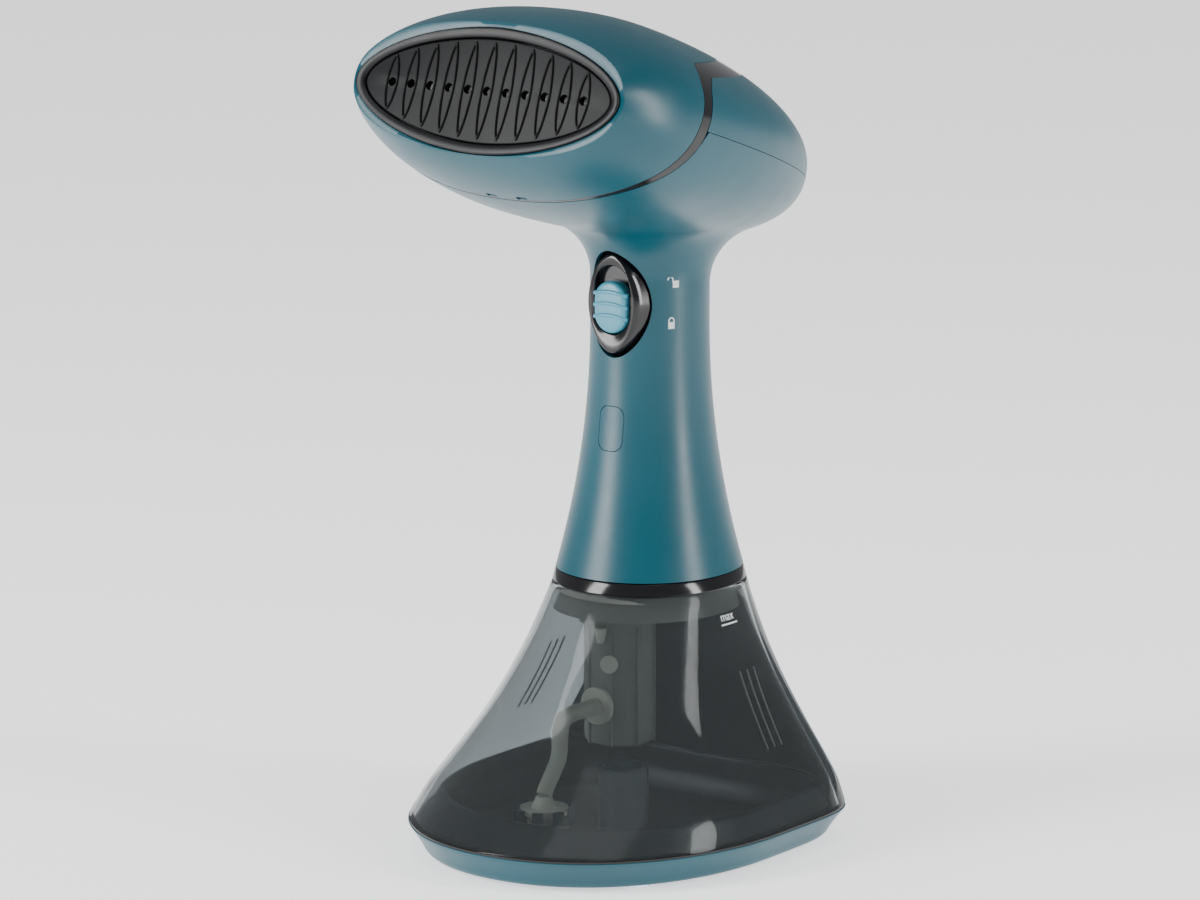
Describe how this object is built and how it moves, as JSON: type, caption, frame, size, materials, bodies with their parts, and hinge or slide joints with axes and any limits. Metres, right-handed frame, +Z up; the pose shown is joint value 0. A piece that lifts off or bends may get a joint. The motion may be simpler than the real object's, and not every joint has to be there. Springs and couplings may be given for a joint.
{
  "type": "garment steamer",
  "caption": "Hand-held garment steamer with an oval steam plate on a tapered handle, standing on its flared see-through water tank.",
  "frame": {"origin": "centre of the footprint at floor level, under the middle of the bounding box", "axes": "+Z up, -Y the way the steam plate faces, +X to the right when seen from the front"},
  "size_m": [0.1306, 0.1596, 0.285],
  "materials": {
    "teal_plastic": "satin moulded shells in deep teal",
    "teal_lens": "translucent teal indicator window, flush with the handle",
    "light_teal": "satin lighter teal slider",
    "dark_teal": "dark teal fittings on the tank floor",
    "smoke_clear": "smoke-grey transparent plastic tank wall",
    "smoke_inner": "smoke-grey inner column and tank lid",
    "gloss_black": "polished black trim",
    "satin_black": "satin black rim round the plate",
    "plate_charcoal": "charcoal non-stick steam plate",
    "black_plastic": "black inner mouldings",
    "black_rubber": "black silicone seals and stopper",
    "clear_rubber": "clear soft feet",
    "white_plastic": "off-white water fittings",
    "light_plastic": "pale switch plunger",
    "silicone": "translucent cream silicone tube",
    "steel": "plated steel",
    "contact_brass": "brass contacts",
    "cast_aluminium": "cast aluminium",
    "coil_copper": "taped copper coil",
    "board_green": "green circuit board",
    "led_clear": "clear lamp"
  },
  "bodies": {
    "tank_unit": {"tank_shell": "smoke_clear", "rear_panel": "teal_plastic", "base_tray": "teal_plastic", "base_gasket": "black_rubber", "feet": "clear_rubber", "tank_top": "smoke_inner", "column": "smoke_inner", "column_sleeve": "smoke_inner", "hose_flange": "white_plastic", "hose_spout": "white_plastic", "vent_nipple": "white_plastic", "vent_disc": "white_plastic", "suction_hose": "silicone", "filter_crown": "dark_teal", "inlet_filter": "white_plastic", "filter_nipple": "white_plastic", "drain_socket": "dark_teal"},
    "handle_unit": {"main_housing": "teal_plastic", "handle_rear_cover": "teal_plastic", "cover_screws": "steel", "head_top_cover": "teal_plastic", "front_shell": "teal_plastic", "trim_band": "gloss_black", "plate_rim": "satin_black", "steam_plate": "plate_charcoal", "chamber_gasket": "black_rubber", "steam_chamber": "cast_aluminium", "heater_element": "steel", "chamber_lid": "cast_aluminium", "chamber_screws": "steel", "thermostat": "steel", "thermal_fuse": "white_plastic", "feed_tube": "silicone", "pump_body": "white_plastic", "pump_coil": "coil_copper", "pump_cushions": "black_rubber", "pump_spring": "steel", "suction_link": "silicone", "collar_ring": "gloss_black", "bottom_closure": "black_plastic", "spigot_seal": "black_rubber", "circuit_board": "board_green", "indicator_led": "led_clear", "indicator_lens": "teal_lens", "microswitch": "black_plastic", "switch_terminals": "contact_brass", "trigger_pin": "steel", "trigger_spring": "steel", "cable_gland": "black_rubber", "cable_clamp": "black_plastic", "clamp_screws": "steel"},
    "trigger": {"trigger": "gloss_black"},
    "lock_slider": {"lock_slider": "light_teal"},
    "switch_plunger": {"switch_plunger": "light_plastic"},
    "pump_piston": {"pump_piston": "steel"},
    "fill_stopper": {"fill_stopper": "black_rubber"}
  },
  "joints": [
    {"name": "handle_lift", "type": "slide", "parent": "tank_unit", "child": "handle_unit", "axis": [0, 0, 1], "range_m": [0, 0.04]},
    {"name": "trigger_press", "type": "hinge", "parent": "handle_unit", "child": "trigger", "pos_m": [0, 0.0071, 0.198], "axis": [1, 0, 0], "range_deg": [0, 6], "stiffness_Nm_per_rad": 2, "springref_deg": -2.86},
    {"name": "lock_slide", "type": "slide", "parent": "trigger", "child": "lock_slider", "axis": [0, 0, 1], "range_m": [0, 0.0045]},
    {"name": "plunger_press", "type": "slide", "parent": "handle_unit", "child": "switch_plunger", "axis": [0, 1, 0], "range_m": [0, 0.0028]},
    {"name": "piston_stroke", "type": "slide", "parent": "handle_unit", "child": "pump_piston", "axis": [0, 0, -1], "range_m": [0, 0.002], "stiffness_N_per_m": 2000, "deforming": ["pump_spring"]},
    {"name": "stopper_pull", "type": "slide", "parent": "tank_unit", "child": "fill_stopper", "axis": [0, 0, 1], "range_m": [0, 0.005]}
  ],
  "couplings": [
    {"joint": "plunger_press", "follows": "trigger_press", "m_per_rad": 0.0243}
  ]
}
